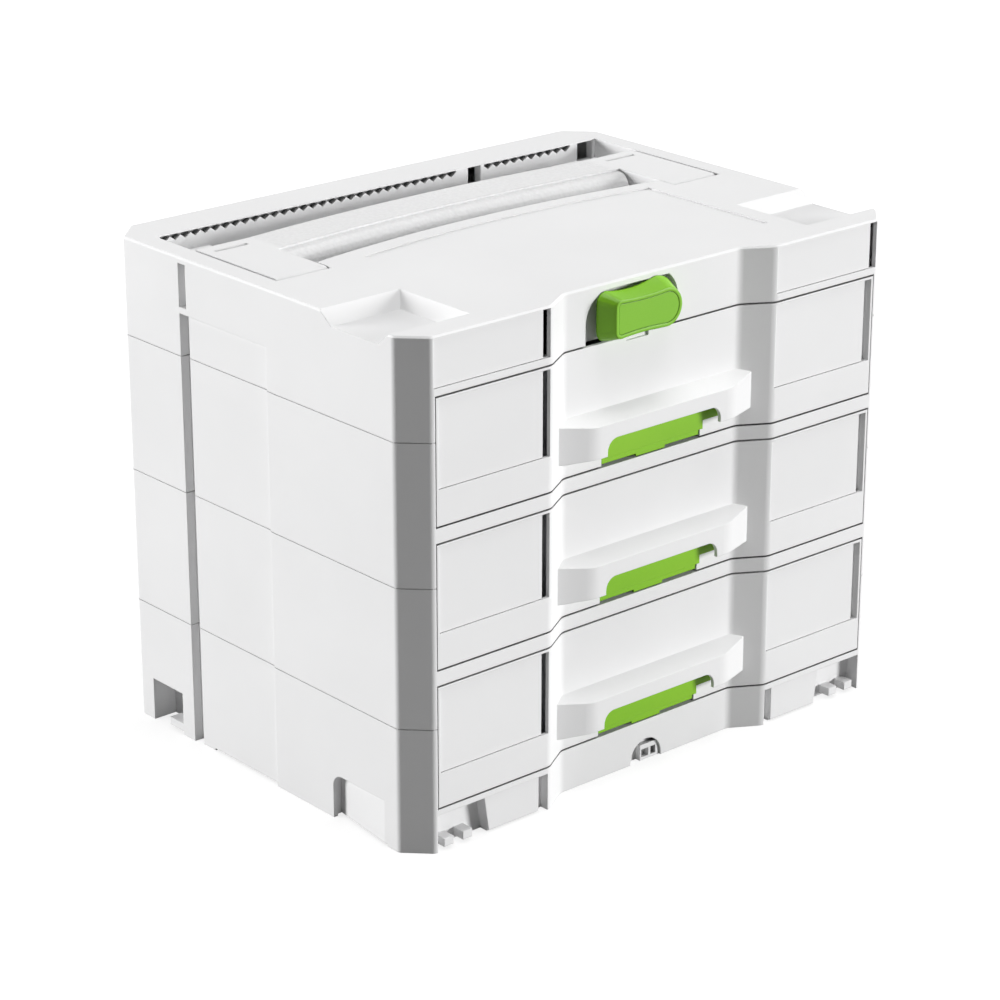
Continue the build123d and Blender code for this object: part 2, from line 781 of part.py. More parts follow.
# Carry handle: grip bar between two arms that turn on the hinge pins
with BuildPart() as carry_handle:
    arm_rear_z = handle_pivot_z - handle_arm_radius + handle_arm_rear_rise
    with BuildSketch(Plane.YZ.offset(handle_arm_inner_x)):
        with BuildLine():
            ThreePointArc(
                (handle_pivot_y, case_height),
                (handle_pivot_y - handle_arm_radius, handle_pivot_z),
                (handle_pivot_y, handle_pivot_z - handle_arm_radius),
            )
            Polyline(
                (handle_pivot_y, handle_pivot_z - handle_arm_radius),
                (handle_rear_y, arm_rear_z),
                (handle_rear_y, case_height),
                (handle_pivot_y, case_height),
            )
        make_face()
    extrude(amount=handle_arm_outer_x - handle_arm_inner_x)
    mirror(about=Plane.YZ)
    with BuildSketch(Plane.XY.offset(case_height - handle_band)):
        with BuildLine():
            crease = ThreePointArc(
                (-handle_arm_inner_x, handle_crease_y),
                (0, handle_crease_y + handle_bow),
                (handle_arm_inner_x, handle_crease_y),
            )
            rear_edge = ThreePointArc(
                (handle_arm_inner_x, handle_rear_y),
                (0, handle_rear_y + handle_bow),
                (-handle_arm_inner_x, handle_rear_y),
            )
            Line(crease @ 1, rear_edge @ 0)
            Line(rear_edge @ 1, crease @ 0)
        make_face()
    extrude(amount=handle_band)
    roll_half = handle_arm_inner_x - handle_roll_end_gap
    roll_z = case_height - handle_roll_drop - handle_roll_radius
    with BuildLine() as roll_path:
        ThreePointArc(
            (-roll_half, handle_roll_y, roll_z),
            (0, handle_roll_y + handle_bow, roll_z),
            (roll_half, handle_roll_y, roll_z),
        )
    with BuildSketch(Plane(origin=roll_path.line @ 0, z_dir=roll_path.line % 0)):
        RegularPolygon(handle_roll_radius, handle_roll_sides)
    sweep(path=roll_path.line)
    for side in (-1, 1):
        with BuildSketch(Plane.YZ.offset(side * (handle_arm_outer_x - hinge_pin_reach))):
            with Locations((handle_pivot_y, handle_pivot_z)):
                Circle(hinge_pin_radius + hinge_pin_fit)
        extrude(amount=side * (hinge_pin_reach + overrun), mode=Mode.SUBTRACT)
    slot_middle = (handle_arm_inner_x + handle_arm_outer_x) / 2
    with BuildSketch(Plane.XY.offset(case_height - handle_slot_depth)):
        with Locations((-slot_middle, handle_slot_y), (slot_middle, handle_slot_y)):
            Rectangle(handle_slot_length, handle_slot_width)
    extrude(amount=handle_slot_depth + overrun, mode=Mode.SUBTRACT)
finish_piece(carry_handle, "carry_handle")

with BuildPart() as handle_hinge_pins:
    for side in (-1, 1):
        with BuildSketch(Plane.YZ.offset(side * (handle_arm_outer_x - hinge_pin_reach))):
            with Locations((handle_pivot_y, handle_pivot_z)):
                Circle(hinge_pin_radius)
        extrude(amount=side * (hinge_pin_reach + handle_side_gap + hinge_pin_seat))
finish_piece(handle_hinge_pins, "handle_hinge_pins")

# Latch knob: a grip that widens towards the cover and turns about its round end
knob_back_gap = 0.5
knob_front_round = 12.0
knob_front_left = 41.5
knob_front_waist = 11.2
knob_back_round = 16.8
knob_back_left = 47.0
knob_back_end_half = 15.5
knob_back_waist = 13.6
knob_waist_share = 0.5
knob_front_corner = 4.5
knob_back_corner = 7.0
knob_corner_steps = 4
inlay_border = 2.2
inlay_depth = 0.8
inlay_gap = 0.3
inlay_thickness = 0.6
washer_radius = 9.5
washer_sides = 16
washer_thickness = 1.6
washer_gap = 0.1
latch_screw_radius = 2.0
latch_screw_fit = 0.05
latch_screw_length = 14.0
latch_screw_head_radius = 4.5
latch_screw_head_height = 2.6
knob_back_y = bay_y - knob_back_gap


def knob_section(round_radius, left, end_half, waist, corner, inset=0.0):
    """Outline of the knob seen from the front, with the turning axis at its own origin."""
    turns = [step * pi / 2 / knob_corner_steps for step in range(knob_corner_steps + 1)]
    lower = [(corner * (1 - sin(turn)) - left, corner * (1 - cos(turn)) - end_half) for turn in turns]
    upper = [(x, -z) for x, z in reversed(lower)]
    with BuildSketch() as section:
        with BuildLine():
            ThreePointArc((0, -round_radius), (round_radius, 0), (0, round_radius))
            ThreePointArc((0, round_radius), (-left * knob_waist_share, waist), upper[-1])
            Polyline(*reversed(upper), *reversed(lower))
            ThreePointArc(lower[0], (-left * knob_waist_share, -waist), (0, -round_radius))
        make_face()
        if inset > 0:
            offset(amount=-inset, kind=Kind.INTERSECTION)
    return section.sketch


def knob_plane(y):
    """Plane that faces the front, with its origin on the turning axis of the knob."""
    return Plane(origin=(0, y, latch_z), x_dir=(1, 0, 0), z_dir=(0, -1, 0))


knob_front = (knob_front_round, knob_front_left, knob_front_round, knob_front_waist, knob_front_corner)
knob_back = (knob_back_round, knob_back_left, knob_back_end_half, knob_back_waist, knob_back_corner)

with BuildPart() as latch_knob:
    with BuildSketch(knob_plane(knob_back_y)):
        add(knob_section(*knob_back))
    with BuildSketch(knob_plane(front_y)):
        add(knob_section(*knob_front))
    loft(ruled=True)
    with BuildSketch(knob_plane(front_y + inlay_depth)):
        add(knob_section(*knob_front, inset=inlay_border))
    extrude(amount=inlay_depth + overrun, mode=Mode.SUBTRACT)
    spindle_end_y = latch_pocket_floor_y + latch_pocket_wall + washer_gap
    with BuildSketch(knob_plane(spindle_end_y)):
        Circle(spindle_radius)
    extrude(amount=spindle_end_y - knob_back_y)
    with BuildSketch(knob_plane(spindle_end_y)):
        RegularPolygon(latch_screw_radius + latch_screw_fit, tie_sides)
    extrude(amount=latch_screw_length, mode=Mode.SUBTRACT)
finish_piece(latch_knob, "latch_knob")

with BuildPart() as latch_inlay:
    with BuildSketch(knob_plane(front_y + inlay_depth)):
        add(knob_section(*knob_front, inset=inlay_border + inlay_gap))
    extrude(amount=inlay_thickness)
finish_piece(latch_inlay, "latch_inlay")

with BuildPart() as latch_washer:
    with BuildSketch(knob_plane(spindle_end_y + washer_thickness)):
        RegularPolygon(washer_radius, washer_sides)
        RegularPolygon(latch_screw_radius + latch_screw_fit, tie_sides, mode=Mode.SUBTRACT)
    extrude(amount=washer_thickness)
finish_piece(latch_washer, "latch_washer")

with BuildPart() as latch_screw:
    with BuildSketch(knob_plane(spindle_end_y + washer_thickness + latch_screw_head_height)):
        RegularPolygon(latch_screw_head_radius, tie_head_sides)
    extrude(amount=latch_screw_head_height)
    with BuildSketch(knob_plane(spindle_end_y + washer_thickness)):
        RegularPolygon(latch_screw_radius, tie_sides)
    extrude(amount=washer_thickness + latch_screw_length - wall)
finish_piece(latch_screw, "latch_screw")

# Drawer pieces, made once with the drawer front's underside at zero
front_skin = 2.5
drawer_label_bottom = 22.1
drawer_label_top = 1.6
drawer_label_outer_gap = 1.7
label_pad = 1.8
bow_front_half = 57.0
bow_end_half = 80.0
bow_bottom = 10.8
bow_front_top = 31.0
bow_rear_top = 36.8
bow_roof = 29.2
bow_wall = 2.4
bow_corner_round = 30.0
bow_cavity_end = 66.0
window_half = 47.0
window_top = 21.6
window_round = 8.0
lever_half = 54.0
lever_lip_half = 40.4
lever_side_gap = 0.7
lever_side_sill = 10.6
lever_pivot_ahead = 1.5  # ahead of the bay's floor
lever_pivot_rise = 26.2
lever_barrel_radius = 2.2
lever_plate_ahead = 3.2
lever_plate_thickness = 2.0
lever_plate_bottom = 5.8
lever_lip_set_back = 0.6
lever_lip_thickness = 1.6
lever_lip_bottom = 1.0
lever_shelf = 1.8
lever_tab_half = 12.0
lever_tab_drop = 1.6
cheek_thickness = 2.5
cheek_bottom = 22.6
lever_pin_radius = 1.2
lever_pin_seat_sides = 8
lever_pin_seat_fit = 0.04
lever_pin_running_fit = 0.08
spring_thickness = 0.6
spring_width = 12.0
spring_foot_top = 30.0
spring_foot_bottom = 20.0
spring_tip_rise = 12.0
spring_tip_gap = 0.3
keeper_range = (-22.0, -4.0)  # notch for the latch in the top edge of the top drawer front
keeper_drop = 2.6
keeper_depth = 1.5
latch_slot_range = (-52.0, 12.0)  # open top of that drawer front, behind the latch
divider_thickness = 2.0
divider_height = 60.0
divider_clearance = 0.3
divider_y = 0.0
channel_rib = 2.0
channel_reach = 3.0
channel_height = 56.0
tray_floor = 2.0
tray_corner_cut = 7.0

bow_end_y = front_y + bay_depth * (bay_shoulder_half - bow_end_half) / (bay_shoulder_half - bay_floor_half)
lever_pivot_y = bay_y - lever_pivot_ahead
drawer_label_outer_x = drawer_half - drawer_label_outer_gap

with BuildPart() as bow_form:
    with BuildSketch(Plane.XY.offset(bow_bottom)):
        Polygon(
            (-bow_end_half, bow_end_y),
            (-bow_front_half, front_y),
            (bow_front_half, front_y),
            (bow_end_half, bow_end_y),
            (bay_floor_half, bay_y + front_skin / 2),
            (-bay_floor_half, bay_y + front_skin / 2),
            align=None,
        )
    extrude(amount=bow_rear_top - bow_bottom)
    fillet(bow_form.edges().filter_by(Axis.Z).sort_by(Axis.Y)[:2], radius=bow_corner_round)
    ledge_fall = (bow_rear_top - bow_front_top) / bay_depth
    with BuildSketch(Plane.YZ):
        Polygon(
            (bay_y, bow_rear_top),
            (front_y - overrun, bow_front_top - ledge_fall * overrun),
            (front_y - overrun, bow_rear_top + overrun),
            (bay_y, bow_rear_top + overrun),
            align=None,
        )
    extrude(amount=bow_end_half + overrun, both=True, mode=Mode.SUBTRACT)

with BuildPart() as drawer_front_form:
    with BuildSketch():
        with Locations((0, (front_y + tray_front_y) / 2)):
            Rectangle(2 * drawer_half, tray_front_y - front_y)
        add(ahead_of_front(), mode=Mode.SUBTRACT)
    extrude(amount=drawer_front_height)
    with BuildSketch(Plane.XY.offset(front_skin)):
        with Locations((0, (front_y + tray_front_y + overrun) / 2)):
            Rectangle(2 * (drawer_half - front_skin), tray_front_y + overrun - front_y)
        add(ahead_of_front(front_skin), mode=Mode.SUBTRACT)
    extrude(amount=drawer_front_height - 2 * front_skin, mode=Mode.SUBTRACT)
    add(bow_form.part)

    # Label fields on both sides of the bay, each with an open finger slot at its right end
    for x_range in (
        (front_skin / 2 - drawer_half, -label_inner_x - label_slot),
        (label_inner_x - label_field_margin, drawer_label_outer_x - label_slot),
    ):
        block(
            x_range,
            (front_y + front_skin / 2, front_y + label_pocket_depth + label_pad),
            (drawer_label_bottom - front_skin, drawer_front_height - front_skin / 2),
        )
    for x_range in both_sides((label_inner_x, drawer_label_outer_x)):
        block(
            x_range,
            (front_y - overrun, front_y + label_pocket_depth),
            (drawer_label_bottom, drawer_front_height - drawer_label_top),
            mode=Mode.SUBTRACT,
        )

    # Hollow of the bow handle, its window and the opening for the release lever
    with BuildSketch(Plane.XY.offset(bow_bottom - overrun)):
        Polygon(
            (-bow_front_half, front_y + bow_wall),
            (bow_front_half, front_y + bow_wall),
            (bow_cavity_end, bay_y),
            (-bow_cavity_end, bay_y),
            align=None,
        )
    extrude(amount=bow_roof - bow_bottom + overrun, mode=Mode.SUBTRACT)
    with BuildSketch(Plane.XZ.offset(-front_y + overrun)) as window:
        with Locations((0, (window_top + bow_bottom - overrun) / 2)):
            Rectangle(2 * window_half, window_top - bow_bottom + overrun)
        fillet(window.vertices().group_by(Axis.Y)[-1], radius=window_round)
    extrude(amount=-(bow_wall + 2 * overrun), mode=Mode.SUBTRACT)
    opening_x = lever_half + lever_side_gap
    lip_opening_x = lever_lip_half + lever_side_gap
    block(
        (-opening_x, opening_x),
        (bay_y - overrun, bay_y + front_skin + overrun),
        (lever_side_sill, bow_roof),
        mode=Mode.SUBTRACT,
    )
    block(
        (-lip_opening_x, lip_opening_x),
        (bay_y - overrun, tray_front_y + overrun),
        (-overrun, lever_side_sill + overrun),
        mode=Mode.SUBTRACT,
    )
    for x_range in both_sides((opening_x, opening_x + cheek_thickness)):
        block(x_range, (front_y + bow_wall / 2, bay_y + front_skin), (cheek_bottom, bow_roof + bow_wall / 2))
    with BuildSketch(Plane.YZ.offset(-opening_x - cheek_thickness)):
        with Locations((lever_pivot_y, lever_pivot_rise)):
            RegularPolygon(lever_pin_radius + lever_pin_seat_fit, lever_pin_seat_sides, major_radius=False)
    extrude(amount=2 * (opening_x + cheek_thickness), mode=Mode.SUBTRACT)

with BuildPart() as tray_form:
    block((-tray_half, tray_half), (tray_front_y, tray_rear_y), (0, tray_height))
    chamfer(tray_form.edges().filter_by(Axis.Z).group_by(Axis.Y)[-1], length=tray_corner_cut)
    with BuildSketch(Plane.XY.offset(tray_floor)) as tray_inside:
        with Locations((0, (tray_front_y + tray_rear_y) / 2)):
            Rectangle(2 * (tray_half - tray_wall), tray_rear_y - tray_front_y - 2 * tray_wall)
        chamfer(tray_inside.vertices(), length=tray_corner_cut - tray_wall)
    extrude(amount=tray_height, mode=Mode.SUBTRACT)
    # Channels that hold the ends of the dividers
    channel_half = divider_thickness / 2 + divider_clearance
    channel_top = tray_floor + channel_height
    for x_range in both_sides((channel_half, channel_half + channel_rib)):
        for y_range in (
            (tray_front_y + tray_wall / 2, tray_front_y + tray_wall + channel_reach),
            (tray_rear_y - tray_wall - channel_reach, tray_rear_y - tray_wall / 2),
        ):
            block(x_range, y_range, (tray_floor / 2, channel_top))
    for x_range in both_sides((tray_half - tray_wall - channel_reach, tray_half - tray_wall / 2)):
        for y_range in (
            (divider_y - channel_half - channel_rib, divider_y - channel_half),
            (divider_y + channel_half, divider_y + channel_half + channel_rib),
        ):
            block(x_range, y_range, (tray_floor / 2, channel_top))

divider_bottom = tray_floor
divider_top = tray_floor + divider_height
with BuildPart() as long_divider_form:
    block(
        (-divider_thickness / 2, divider_thickness / 2),
        (tray_front_y + tray_wall + divider_clearance, tray_rear_y - tray_wall - divider_clearance),
        (divider_bottom, divider_top),
    )
    for x_range in both_sides((divider_thickness / 4, divider_thickness / 2 + channel_reach)):
        for y_range in (
            (divider_y - channel_half - channel_rib, divider_y - channel_half),
            (divider_y + channel_half, divider_y + channel_half + channel_rib),
        ):
            block(x_range, y_range, (divider_bottom, tray_floor + channel_height))

with BuildPart() as cross_dividers_form:
    cross_range = (divider_thickness / 2 + divider_clearance, tray_half - tray_wall - divider_clearance)
    for x_range in both_sides(cross_range):
        block(
            x_range,
            (divider_y - divider_thickness / 2, divider_y + divider_thickness / 2),
            (divider_bottom, divider_top),
        )

with BuildPart() as lever_form:
    plate_y = bay_y - lever_plate_ahead
    lip_y = bay_y + lever_lip_set_back
    for half, bottom in (
        (lever_half, lever_side_sill + lever_side_gap),
        (lever_lip_half, lever_plate_bottom),
    ):
        block((-half, half), (plate_y, plate_y + lever_plate_thickness), (bottom, lever_pivot_rise))
    block(
        (-lever_lip_half, lever_lip_half),
        (plate_y, lip_y + lever_lip_thickness),
        (lever_plate_bottom, lever_plate_bottom + lever_shelf),
    )
    block(
        (-lever_lip_half, lever_lip_half),
        (lip_y, lip_y + lever_lip_thickness),
        (lever_lip_bottom, lever_plate_bottom + lever_shelf),
    )
    block(
        (-lever_tab_half, lever_tab_half),
        (lip_y, lip_y + lever_lip_thickness),
        (lever_lip_bottom - lever_tab_drop, lever_lip_bottom),
    )
    with BuildSketch(Plane.YZ.offset(-lever_half)):
        with Locations((lever_pivot_y, lever_pivot_rise)):
            RegularPolygon(lever_barrel_radius, tie_sides)
    extrude(amount=2 * lever_half)
    with BuildSketch(Plane.YZ.offset(-lever_half)):
        with Locations((lever_pivot_y, lever_pivot_rise)):
            Circle(lever_pin_radius + lever_pin_running_fit)
    extrude(amount=2 * lever_half, mode=Mode.SUBTRACT)

with BuildPart() as lever_pin_form:
    pin_half = opening_x + cheek_thickness
    with BuildSketch(Plane.YZ.offset(-pin_half)):
        with Locations((lever_pivot_y, lever_pivot_rise)):
            Circle(lever_pin_radius)
    extrude(amount=2 * pin_half)

with BuildPart() as lever_spring_form:
    tip_y = plate_y + lever_plate_thickness + spring_tip_gap
    with BuildSketch(Plane.YZ.offset(-spring_width / 2)):
        Polygon(
            (tray_front_y, spring_foot_top),
            (tray_front_y - spring_thickness, spring_foot_top),
            (tray_front_y - spring_thickness, spring_foot_bottom),
            (tip_y, spring_tip_rise + spring_thickness),
            (tip_y, spring_tip_rise),
            (tray_front_y, spring_foot_bottom - spring_thickness),
            align=None,
        )
    extrude(amount=spring_width)

label_forms = {}
for side, label_name in ((-1, "label_left"), (1, "label_right")):
    field = (label_inner_x, drawer_label_outer_x) if side > 0 else (-drawer_label_outer_x, -label_inner_x)
    with BuildPart() as label_form:
        block(
            (field[0] + label_clearance, field[1] - label_slot),
            (front_y + label_set_back, front_y + label_pocket_depth),
            (drawer_label_bottom + label_clearance, drawer_front_height - drawer_label_top - label_clearance),
        )
    label_forms[label_name] = label_form

# The three drawers, set at their levels
drawer_forms = {
    "drawer_front": drawer_front_form,
    "drawer_tray": tray_form,
    "long_divider": long_divider_form,
    "cross_dividers": cross_dividers_form,
    "release_lever": lever_form,
    "lever_pin": lever_pin_form,
    "lever_spring": lever_spring_form,
    **label_forms,
}
for level, level_name in enumerate(("bottom", "middle", "top")):
    for form_name, form in drawer_forms.items():
        with BuildPart() as drawer_piece:
            with Locations((0, 0, drawer_bottom(level))):
                add(form.part)
            if (level_name, form_name) == ("top", "drawer_front"):
                front_top = drawer_bottom(level) + drawer_front_height
                for x_range, y_range, drop in (
                    (keeper_range, (bay_y - overrun, bay_y + keeper_depth), keeper_drop),
                    (latch_slot_range, (bay_y + front_skin, tray_front_y + overrun), front_skin + overrun),
                ):
                    block(x_range, y_range, (front_top - drop, front_top + overrun), mode=Mode.SUBTRACT)
        finish_piece(drawer_piece, f"{level_name}_{form_name}")
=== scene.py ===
import math

import bpy
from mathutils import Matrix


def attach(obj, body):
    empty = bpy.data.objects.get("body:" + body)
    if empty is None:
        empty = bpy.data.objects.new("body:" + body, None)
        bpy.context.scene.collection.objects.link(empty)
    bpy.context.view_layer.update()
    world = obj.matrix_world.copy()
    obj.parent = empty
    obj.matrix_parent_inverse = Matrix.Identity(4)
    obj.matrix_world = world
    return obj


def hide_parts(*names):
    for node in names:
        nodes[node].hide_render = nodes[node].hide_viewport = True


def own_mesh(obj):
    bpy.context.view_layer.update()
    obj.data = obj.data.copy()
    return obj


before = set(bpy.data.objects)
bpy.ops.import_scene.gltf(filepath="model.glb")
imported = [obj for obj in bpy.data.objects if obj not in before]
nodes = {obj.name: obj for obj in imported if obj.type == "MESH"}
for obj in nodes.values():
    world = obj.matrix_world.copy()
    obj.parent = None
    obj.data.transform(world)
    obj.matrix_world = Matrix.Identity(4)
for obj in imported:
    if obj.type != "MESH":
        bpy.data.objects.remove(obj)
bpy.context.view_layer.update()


# Case: a base, two rings and a lid of white plastic, each injection moulded in one piece and
# clamped together by long screws in the corner posts. The outside has a fine grain, the edges are
# soft, and the narrow gaps between the mouldings get painted shade, as little light gets into
# them.
class Shade:
    """A value in a material's node tree. Arithmetic on it adds math nodes."""

    def __init__(self, tree, socket):
        self.tree = tree
        self.socket = socket

    def make(self, kind, output=0, inputs=(), **settings):
        """Add any node to the tree and give back one of its outputs."""
        node = self.tree.nodes.new(kind)
        for name, value in settings.items():
            setattr(node, name, value)
        for name, value in dict(inputs).items():
            if isinstance(value, Shade):
                self.tree.links.new(value.socket, node.inputs[name])
            else:
                node.inputs[name].default_value = value
        return Shade(self.tree, node.outputs[output])

    def math(self, operation, first, second):
        return self.make("ShaderNodeMath", operation=operation, inputs={0: first, 1: second})

    def __add__(self, other):
        return self.math("ADD", self, other)

    __radd__ = __add__

    def __sub__(self, other):
        return self.math("SUBTRACT", self, other)

    def __rsub__(self, other):
        return self.math("SUBTRACT", other, self)

    def __mul__(self, other):
        return self.math("MULTIPLY", self, other)

    __rmul__ = __mul__

    def noise(self, scale, detail=2.0):
        return self.make(
            "ShaderNodeTexNoise",
            inputs={"Vector": self, "Scale": scale, "Detail": detail},
        )

    def steps(self, low, high):
        """Nought below the low value, one above the high one and a smooth rise between."""
        return self.make(
            "ShaderNodeMapRange",
            interpolation_type="SMOOTHSTEP",
            inputs={"Value": self, "From Min": low, "From Max": high},
        )

    def mix(self, low, high):
        """A colour between two, chosen by this value; each is three numbers or a shade."""
        low, high = [end if isinstance(end, Shade) else (*end, 1.0) for end in (low, high)]
        factor, first, second, colour = 0, 6, 7, 2
        return self.make(
            "ShaderNodeMix",
            output=colour,
            data_type="RGBA",
            inputs={factor: self, first: low, second: high},
        )


def new_material(name):
    """An empty surface: its shader node and a place to start its pattern from."""
    material = bpy.data.materials.new(name)
    material.use_nodes = True
    tree = material.node_tree
    shader = tree.nodes["Principled BSDF"]
    place = Shade(tree, tree.nodes.new("ShaderNodeTexCoord").outputs["Object"])
    return material, shader, place


def wire(shader, **values):
    """Set or connect a shader's inputs; underscores in the names stand for blanks."""
    for name, value in values.items():
        socket = shader.inputs[name.replace("_", " ")]
        if isinstance(value, Shade):
            value.tree.links.new(value.socket, socket)
        else:
            socket.default_value = value


plastic_ior = 1.5
plastic_specular = 0.35
cloud_scale = 9.0
cloud_detail = 3.0
noise_middle = 0.5
edge_samples = 6
painted_shade_samples = 8
painted_shade_reach = 0.006
painted_shade_full_at = 0.04
painted_shade_none_at = 0.42
grain_strength = 0.5
grain_cloud_share = 0.6
tint_cloud_share = 0.7
tint_speckle_share = 0.3
tint_low = 0.3
tint_high = 0.7
speckle_gloss = 0.12
cloud_gloss = 0.1


def moulded(name, dark, light, painted_shade, roughness, edge, grain, grain_size, shade_reach=painted_shade_reach):
    """Injection-moulded plastic: softened edges, fine grain, faint flow clouds and painted shade
    in the gaps.
    """
    material, shader, place = new_material(name)
    clouds = place.noise(cloud_scale, cloud_detail)
    speckle = place.noise(1.0 / grain_size)
    rounded = place.make("ShaderNodeBevel", samples=edge_samples, inputs={"Radius": edge})
    # Painted shade: where the ambient occlusion finds the surface closed in, the colour turns to
    # the near-black shade colour.
    painted_shade_openness = place.make(
        "ShaderNodeAmbientOcclusion",
        output="AO",
        samples=painted_shade_samples,
        inputs={"Distance": shade_reach},
    )
    relief = place.make(
        "ShaderNodeBump",
        inputs={
            "Strength": grain_strength,
            "Distance": grain,
            "Height": speckle + grain_cloud_share * clouds,
            "Normal": rounded,
        },
    )
    tint = (clouds * tint_cloud_share + speckle * tint_speckle_share).steps(tint_low, tint_high)
    gloss = speckle_gloss * (speckle - noise_middle) + cloud_gloss * (clouds - noise_middle)
    wire(
        shader,
        Base_Color=painted_shade_openness.steps(painted_shade_full_at, painted_shade_none_at).mix(painted_shade, tint.mix(dark, light)),
        Roughness=roughness + gloss,
        Normal=relief,
        IOR=plastic_ior,
        Specular_IOR_Level=plastic_specular,
    )
    return material


def dress(node_name, material):
    """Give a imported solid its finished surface."""
    slots = nodes[node_name].data.materials
    slots.clear()
    slots.append(material)


# Near-black painted shade for the gaps and hollows of the white and grey parts.
white_painted_shade = (0.03, 0.03, 0.032)
case_white = moulded(
    "case_white",
    dark=(0.775, 0.775, 0.778),
    light=(0.81, 0.81, 0.813),
    painted_shade=white_painted_shade,
    roughness=0.46,
    edge=0.0007,
    grain=0.00006,
    grain_size=0.0004,
)
for module in ("base_module", "middle_module", "upper_module", "top_cover"):
    dress(module, case_white)

# Label plates of the lid: thin blank plates of the same white plastic, moulded smoother than the
# case and set into the fields on both sides of the bay.
label_white = moulded(
    "label_white",
    dark=(0.785, 0.785, 0.788),
    light=(0.81, 0.81, 0.813),
    painted_shade=white_painted_shade,
    roughness=0.36,
    edge=0.0004,
    grain=0.00002,
    grain_size=0.0006,
)
for plate in ("cover_label_left", "cover_label_right"):
    dress(plate, label_white)

# Carry handle: one white moulding with two flat arms; the grip bar between them has a coarse
# pebbled grain for the hand. It folds down into the lid on two steel pins.
bar_end_x = 0.142
bar_fade = 0.006
pebble_scale = 420.0
pebble_smoothness = 0.6
pebble_height = 0.0004
pebble_strength = 0.7
fine_scale = 2500.0
fine_height_share = 0.12
fine_gloss = 0.1
handle_edge = 0.0016
handle_light = (0.79, 0.79, 0.793)
handle_dark = (0.73, 0.73, 0.733)
handle_cloud_share = 0.6
handle_pebble_share = 0.5
handle_tint_low = 0.2
handle_tint_high = 0.8
handle_roughness = 0.46
bar_roughness_rise = 0.12
handle_white, handle_shader, place = new_material("handle_white")
clouds = place.noise(cloud_scale, cloud_detail)
pebbles = place.make(
    "ShaderNodeTexVoronoi",
    feature="SMOOTH_F1",
    inputs={"Vector": place, "Scale": pebble_scale, "Smoothness": pebble_smoothness},
)
fine = place.noise(fine_scale)
across = place.make("ShaderNodeSeparateXYZ", inputs={0: place})
on_bar = 1.0 - across.math("ABSOLUTE", across, 0.0).steps(bar_end_x - bar_fade, bar_end_x)
rounded = place.make("ShaderNodeBevel", samples=edge_samples, inputs={"Radius": handle_edge})
relief = place.make(
    "ShaderNodeBump",
    inputs={
        "Strength": pebble_strength,
        "Distance": pebble_height,
        "Height": on_bar * pebbles + fine_height_share * fine,
        "Normal": rounded,
    },
)
hollows = clouds * handle_cloud_share + on_bar * pebbles * handle_pebble_share
wire(
    handle_shader,
    Base_Color=hollows.steps(handle_tint_low, handle_tint_high).mix(handle_light, handle_dark),
    Roughness=handle_roughness + bar_roughness_rise * on_bar + fine_gloss * (fine - noise_middle),
    Normal=relief,
    IOR=plastic_ior,
)
dress("carry_handle", handle_white)

# Steel pins, screws and washers: zinc-plated wire and turned parts that hold the case, the handle
# and the latch together. The zinc has fine upright lines and a cloudy bloom.
drawn_stretch = (1.0, 1.0, 0.05)
drawn_scale = 3000.0
drawn_share = 0.5
bloom_scale = 120.0
bloom_detail = 4.0
bloom_share = 0.5
bloom_roughness = 0.2
steel_dark = (0.52, 0.53, 0.55)
steel_light = (0.66, 0.66, 0.67)
steel_roughness = 0.28
zinc_steel, steel_shader, place = new_material("zinc_steel")
stretched = place.make("ShaderNodeMapping", inputs={"Vector": place, "Scale": drawn_stretch})
drawn = stretched.noise(drawn_scale)
bloom = place.noise(bloom_scale, bloom_detail)
sheen = (drawn_share * drawn + bloom_share * bloom).steps(tint_low, tint_high)
wire(
    steel_shader,
    Base_Color=sheen.mix(steel_dark, steel_light),
    Metallic=1.0,
    Roughness=steel_roughness + bloom_roughness * bloom,
)
for fastener in ("tie_screws", "handle_hinge_pins", "latch_washer", "latch_screw"):
    dress(fastener, zinc_steel)

# Latch: a lime green plastic grip with a smooth flat inlay. It turns about its round end in the
# bay of the lid, on a spindle held by a screw and a washer.
# Dark green painted shade for the gaps and the pocket around the latch.
latch_painted_shade = (0.01, 0.08, 0.02)
latch_green = moulded(
    "latch_green",
    dark=(0.18, 0.46, 0.006),
    light=(0.22, 0.51, 0.01),
    painted_shade=latch_painted_shade,
    roughness=0.42,
    edge=0.0016,
    grain=0.00005,
    grain_size=0.0004,
)
dress("latch_knob", latch_green)
inlay_green = moulded(
    "inlay_green",
    dark=(0.19, 0.47, 0.012),
    light=(0.23, 0.52, 0.018),
    painted_shade=latch_painted_shade,
    roughness=0.34,
    edge=0.0004,
    grain=0.00002,
    grain_size=0.0005,
)
dress("latch_inlay", inlay_green)

# Drawers: a white front with a bow handle, a grey tray behind it, two blank label plates and
# loose partitions. The lime green lever in the bow lets the drawer go.
tray_grey = moulded(
    "tray_grey",
    dark=(0.50, 0.52, 0.54),
    light=(0.56, 0.58, 0.60),
    painted_shade=white_painted_shade,
    roughness=0.5,
    edge=0.0008,
    grain=0.00005,
    grain_size=0.0005,
)
lever_green = moulded(
    "lever_green",
    dark=(0.19, 0.46, 0.002),
    light=(0.23, 0.51, 0.004),
    # Dark green painted shade, reaching further than on the other parts, darkens the crease under
    # the lever's plate.
    painted_shade=(0.01, 0.09, 0.006),
    roughness=0.38,
    edge=0.0005,
    grain=0.00003,
    grain_size=0.0005,
    shade_reach=0.009,
)
drawer_surfaces = {
    "drawer_front": case_white,
    "label_left": label_white,
    "label_right": label_white,
    "drawer_tray": tray_grey,
    "long_divider": tray_grey,
    "cross_dividers": tray_grey,
    "release_lever": lever_green,
    "lever_pin": zinc_steel,
    "lever_spring": zinc_steel,
}
levels = ("bottom", "middle", "top")
